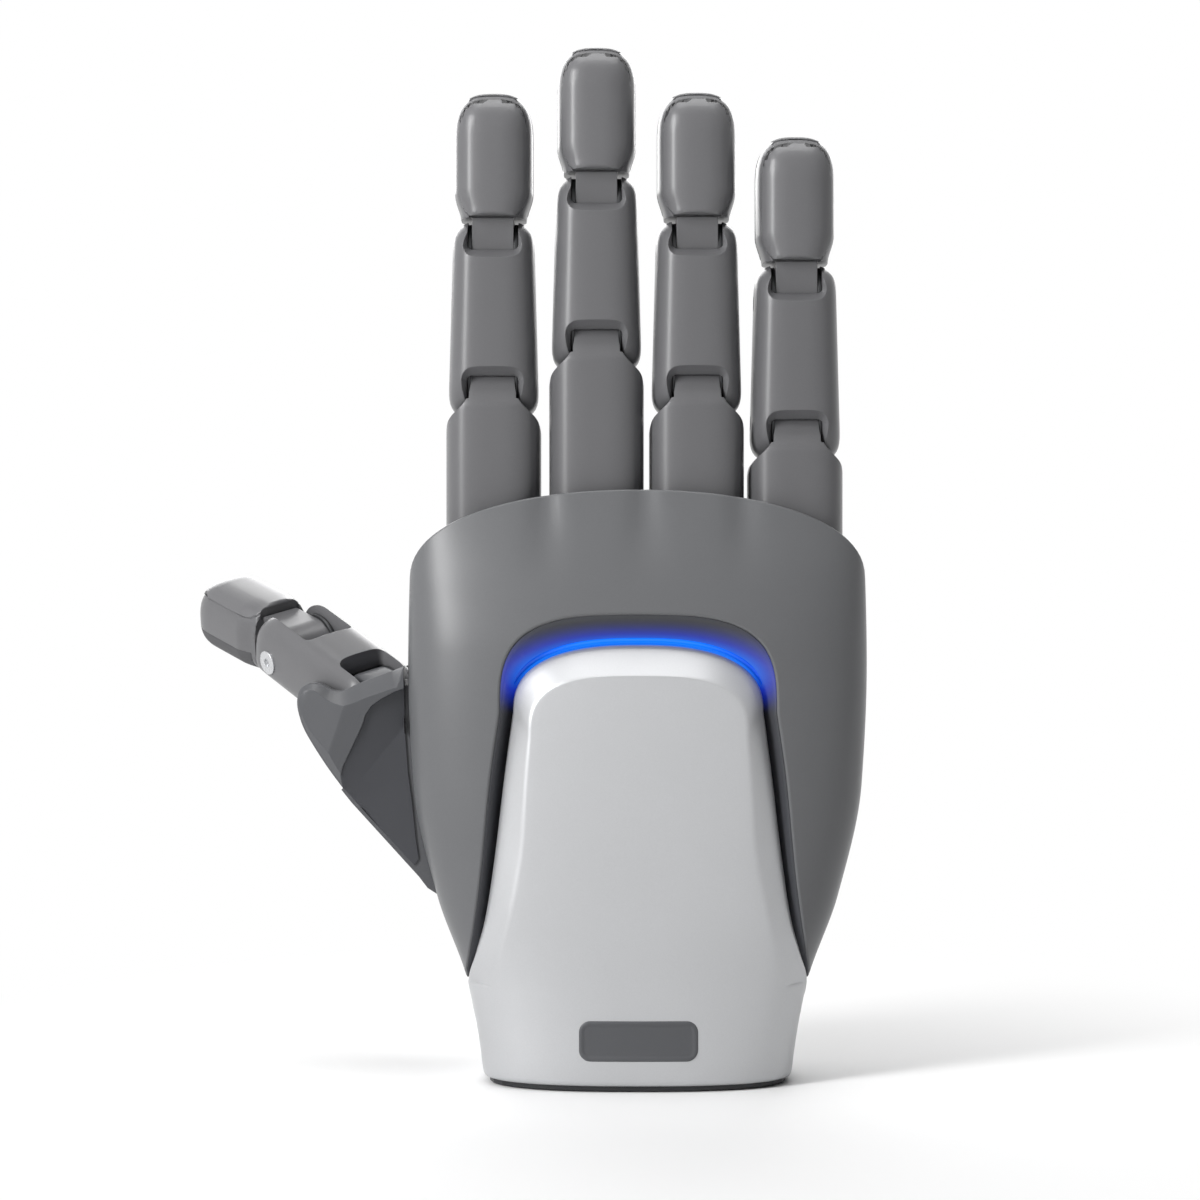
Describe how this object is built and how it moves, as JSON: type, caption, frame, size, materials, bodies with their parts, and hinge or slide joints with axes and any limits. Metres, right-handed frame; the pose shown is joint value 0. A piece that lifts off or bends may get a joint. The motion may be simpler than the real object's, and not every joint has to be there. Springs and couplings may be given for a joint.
{
  "type": "dexterous robot hand",
  "caption": "Right-hand robot hand with jointed fingers, opposable thumb, silver wrist housing, dark back cover and a light strip round the arch of the housing.",
  "frame": {"origin": "centre of the cable bore in the wrist mounting face", "axes": "+Z from the wrist to the fingertips, -Y out of the back of the hand, +Y out of the palm, -X to the thumb"},
  "size_m": [0.1281, 0.065, 0.1895],
  "materials": {
    "housing_silver": "satin silver",
    "cover_dark": "fine satin graphite",
    "bezel_dark": "satin",
    "status_light": "lit blue light guide",
    "finger_shell": "satin graphite",
    "nail_plate": "satin graphite",
    "soft_pad": "matte moulded",
    "frame_metal": "machined",
    "pin_steel": "ground",
    "screw_steel": "turned",
    "flange_black": "black anodised",
    "plate_dark": "satin",
    "board": "solder mask",
    "motor_metal": "turned"
  },
  "bodies": {
    "palm": {"wrist_flange": "flange_black", "flange_screws": "pin_steel", "wrist_housing": "housing_silver", "number_plate": "plate_dark", "dorsal_cover": "cover_dark", "arch_bezel": "bezel_dark", "status_light": "status_light", "palm_frame": "frame_metal", "palm_cover": "cover_dark", "palm_pad": "soft_pad", "cover_screws": "pin_steel", "control_board": "board", "finger_actuators": "motor_metal", "thumb_actuator": "motor_metal", "palm_pins": "pin_steel", "middle_knuckle": "frame_metal", "middle_mcp_pin": "pin_steel"},
    "index_knuckle_body": {"index_knuckle": "frame_metal", "index_mcp_pin": "pin_steel"},
    "index_proximal_link": {"index_proximal": "finger_shell"},
    "index_middle_link": {"index_middle": "finger_shell", "index_middle_pad": "soft_pad", "index_hinge_pins": "pin_steel"},
    "index_distal_link": {"index_distal": "finger_shell", "index_nail_plate": "nail_plate", "index_fingertip_pad": "soft_pad"},
    "middle_proximal_link": {"middle_proximal": "finger_shell"},
    "middle_middle_link": {"middle_middle": "finger_shell", "middle_middle_pad": "soft_pad", "middle_hinge_pins": "pin_steel"},
    "middle_distal_link": {"middle_distal": "finger_shell", "middle_nail_plate": "nail_plate", "middle_fingertip_pad": "soft_pad"},
    "ring_knuckle_body": {"ring_knuckle": "frame_metal", "ring_mcp_pin": "pin_steel"},
    "ring_proximal_link": {"ring_proximal": "finger_shell"},
    "ring_middle_link": {"ring_middle": "finger_shell", "ring_middle_pad": "soft_pad", "ring_hinge_pins": "pin_steel"},
    "ring_distal_link": {"ring_distal": "finger_shell", "ring_nail_plate": "nail_plate", "ring_fingertip_pad": "soft_pad"},
    "pinky_knuckle_body": {"pinky_knuckle": "frame_metal", "pinky_mcp_pin": "pin_steel"},
    "pinky_proximal_link": {"pinky_proximal": "finger_shell"},
    "pinky_middle_link": {"pinky_middle": "finger_shell", "pinky_middle_pad": "soft_pad", "pinky_hinge_pins": "pin_steel"},
    "pinky_distal_link": {"pinky_distal": "finger_shell", "pinky_nail_plate": "nail_plate", "pinky_fingertip_pad": "soft_pad"},
    "thumb_hub_body": {"thumb_hub": "frame_metal"},
    "thumb_metacarpal_body": {"thumb_metacarpal": "finger_shell", "thumb_swing_pin": "pin_steel"},
    "thumb_proximal_link": {"thumb_proximal": "finger_shell", "thumb_mcp_pin": "pin_steel", "thumb_hinge_screws": "screw_steel"},
    "thumb_distal_link": {"thumb_distal": "finger_shell", "thumb_nail_plate": "nail_plate", "thumb_tip_pad": "soft_pad"}
  },
  "joints": [
    {"name": "index_spread", "type": "hinge", "parent": "palm", "child": "index_knuckle_body", "pos_m": [-0.0265, 0.0015, 0.0791], "axis": [0, -1, 0], "range_deg": [0, 8]},
    {"name": "index_mcp", "type": "hinge", "parent": "index_knuckle_body", "child": "index_proximal_link", "pos_m": [-0.0265, 0.0015, 0.0901], "axis": [-1, 0, 0], "range_deg": [0, 80]},
    {"name": "index_pip", "type": "hinge", "parent": "index_proximal_link", "child": "index_middle_link", "pos_m": [-0.0265, 0.0015, 0.1282], "axis": [-1, 0, 0], "range_deg": [0, 90]},
    {"name": "index_dip", "type": "hinge", "parent": "index_middle_link", "child": "index_distal_link", "pos_m": [-0.0265, 0.0015, 0.1504], "axis": [-1, 0, 0], "range_deg": [0, 54]},
    {"name": "middle_mcp", "type": "hinge", "parent": "palm", "child": "middle_proximal_link", "pos_m": [-0.0075, 0.0015, 0.0986], "axis": [-1, 0, 0], "range_deg": [0, 80]},
    {"name": "middle_pip", "type": "hinge", "parent": "middle_proximal_link", "child": "middle_middle_link", "pos_m": [-0.0075, 0.0015, 0.1367], "axis": [-1, 0, 0], "range_deg": [0, 90]},
    {"name": "middle_dip", "type": "hinge", "parent": "middle_middle_link", "child": "middle_distal_link", "pos_m": [-0.0075, 0.0015, 0.1589], "axis": [-1, 0, 0], "range_deg": [0, 54]},
    {"name": "ring_spread", "type": "hinge", "parent": "palm", "child": "ring_knuckle_body", "pos_m": [0.011, 0.0015, 0.0793], "axis": [0, 1, 0], "range_deg": [0, 4]},
    {"name": "ring_mcp", "type": "hinge", "parent": "ring_knuckle_body", "child": "ring_proximal_link", "pos_m": [0.011, 0.0015, 0.0903], "axis": [-1, 0, 0], "range_deg": [0, 80]},
    {"name": "ring_pip", "type": "hinge", "parent": "ring_proximal_link", "child": "ring_middle_link", "pos_m": [0.011, 0.0015, 0.1284], "axis": [-1, 0, 0], "range_deg": [0, 90]},
    {"name": "ring_dip", "type": "hinge", "parent": "ring_middle_link", "child": "ring_distal_link", "pos_m": [0.011, 0.0015, 0.1506], "axis": [-1, 0, 0], "range_deg": [0, 54]},
    {"name": "pinky_spread", "type": "hinge", "parent": "palm", "child": "pinky_knuckle_body", "pos_m": [0.0292, 0.0015, 0.0711], "axis": [0, 1, 0], "range_deg": [0, 8]},
    {"name": "pinky_mcp", "type": "hinge", "parent": "pinky_knuckle_body", "child": "pinky_proximal_link", "pos_m": [0.0292, 0.0015, 0.0821], "axis": [-1, 0, 0], "range_deg": [0, 80]},
    {"name": "pinky_pip", "type": "hinge", "parent": "pinky_proximal_link", "child": "pinky_middle_link", "pos_m": [0.0292, 0.0015, 0.1202], "axis": [-1, 0, 0], "range_deg": [0, 90]},
    {"name": "pinky_dip", "type": "hinge", "parent": "pinky_middle_link", "child": "pinky_distal_link", "pos_m": [0.0292, 0.0015, 0.1424], "axis": [-1, 0, 0], "range_deg": [0, 54]},
    {"name": "thumb_roll", "type": "hinge", "parent": "palm", "child": "thumb_hub_body", "pos_m": [-0.029, 0.008, 0.044], "axis": [0, 0, 1], "range_deg": [-70, 0]},
    {"name": "thumb_swing", "type": "hinge", "parent": "thumb_hub_body", "child": "thumb_metacarpal_body", "pos_m": [-0.029, 0.008, 0.044], "axis": [0, 1, 0], "range_deg": [-15, 0]},
    {"name": "thumb_mcp", "type": "hinge", "parent": "thumb_metacarpal_body", "child": "thumb_proximal_link", "pos_m": [-0.0494, 0.0057, 0.0677], "axis": [0.7701, 0.5909, 0.2402], "range_deg": [-50, 0]},
    {"name": "thumb_ip", "type": "hinge", "parent": "thumb_proximal_link", "child": "thumb_distal_link", "pos_m": [-0.06425, 0.02111, 0.07741], "axis": [0.7701, 0.5909, 0.2402], "range_deg": [-50, 0]}
  ],
  "couplings": [
    {"joint": "index_dip", "follows": "index_pip", "ratio": 0.6},
    {"joint": "middle_dip", "follows": "middle_pip", "ratio": 0.6},
    {"joint": "ring_dip", "follows": "ring_pip", "ratio": 0.6},
    {"joint": "pinky_dip", "follows": "pinky_pip", "ratio": 0.6},
    {"joint": "ring_spread", "follows": "index_spread", "ratio": 0.5},
    {"joint": "pinky_spread", "follows": "index_spread", "ratio": 1},
    {"joint": "thumb_ip", "follows": "thumb_mcp", "ratio": 1}
  ]
}
